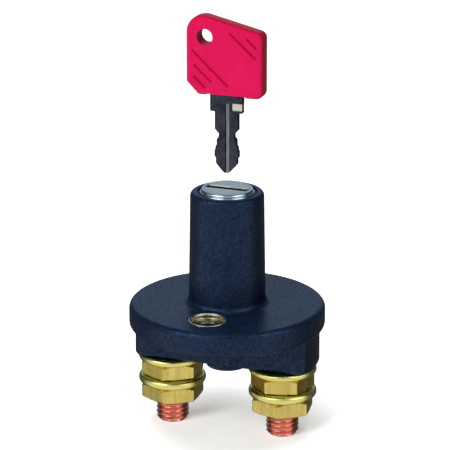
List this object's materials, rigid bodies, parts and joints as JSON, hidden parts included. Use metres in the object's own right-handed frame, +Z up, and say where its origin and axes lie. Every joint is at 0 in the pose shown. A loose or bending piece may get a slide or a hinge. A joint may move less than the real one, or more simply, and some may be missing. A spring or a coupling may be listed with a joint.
{
  "type": "battery switch",
  "caption": "Key-operated battery isolator switch: round screw flange, tall lock neck with chromed barrel, copper stud terminals with brass nuts, and a removable key with a red head.",
  "frame": {"origin": "centre of the two panel screw holes on the flange's underside", "axes": "+Z up along the lock's axis towards the key, +X from the left terminal to the right one, screw holes along Y"},
  "size_m": [0.06, 0.06, 0.1304],
  "materials": {
    "housing": "dark blue-black moulded thermoset with a fine speckle",
    "inner_plastic": "black glass-filled nylon",
    "chrome": "bright chrome plate",
    "rubber": "soft black rubber",
    "brass": "machined brass, lightly tarnished",
    "bush_brass": "turned brass",
    "copper": "red copper",
    "silver": "silver contact facing",
    "spring_steel": "drawn spring steel",
    "wafer_brass": "stamped brass",
    "key_steel": "dark nickel-plated steel",
    "key_red": "crimson moulded plastic, satin"
  },
  "bodies": {
    "housing": {"top_housing": "housing", "base_housing": "housing", "mounting_bush_front": "bush_brass", "mounting_bush_rear": "bush_brass", "lock_barrel": "chrome", "lock_seal": "rubber", "barrel_nut": "brass", "terminal_stud_left": "copper", "upper_washer_left": "brass", "upper_nut_left": "brass", "lower_washer_left": "brass", "lower_nut_left": "brass", "fixed_contact_left": "silver", "terminal_stud_right": "copper", "upper_washer_right": "brass", "upper_nut_right": "brass", "lower_washer_right": "brass", "lower_nut_right": "brass", "fixed_contact_right": "silver"},
    "rotor": {"lock_plug": "chrome", "plug_circlip": "spring_steel", "wafer_springs": "spring_steel", "drive_rotor": "inner_plastic", "rotor_seal": "rubber"},
    "wafers_odd": {"wafer_1": "wafer_brass", "wafer_3": "wafer_brass", "wafer_5": "wafer_brass"},
    "wafers_even": {"wafer_2": "wafer_brass", "wafer_4": "wafer_brass", "wafer_6": "wafer_brass"},
    "bridge": {"bridge_carrier": "inner_plastic", "contact_bridge": "copper", "contact_spring": "spring_steel", "bridge_contact_left": "silver", "bridge_contact_right": "silver", "return_spring": "spring_steel"},
    "key": {"key_blade": "key_steel", "key_head": "key_red"}
  },
  "joints": [
    {"name": "lock_turn", "type": "hinge", "parent": "housing", "child": "rotor", "pos_m": [0, 0, 0.0325], "axis": [0, 0, -1], "range_deg": [0, 90]},
    {"name": "key_insert", "type": "slide", "parent": "rotor", "child": "key", "axis": [0, 0, -1], "range_m": [0, 0.0254]},
    {"name": "wafers_odd_slide", "type": "slide", "parent": "rotor", "child": "wafers_odd", "axis": [1, 0, 0], "range_m": [0, 0.0005]},
    {"name": "wafers_even_slide", "type": "slide", "parent": "rotor", "child": "wafers_even", "axis": [-1, 0, 0], "range_m": [0, 0.0005]},
    {"name": "bridge_slide", "type": "slide", "parent": "housing", "child": "bridge", "axis": [0, 0, -1], "range_m": [0, 0.00248], "deforming": ["return_spring"]}
  ],
  "couplings": [
    {"joint": "wafers_odd_slide", "follows": "key_insert", "ratio": 0.019685},
    {"joint": "wafers_even_slide", "follows": "key_insert", "ratio": 0.019685},
    {"joint": "lock_turn", "follows": "bridge_slide", "rad_per_m": 633.3}
  ]
}
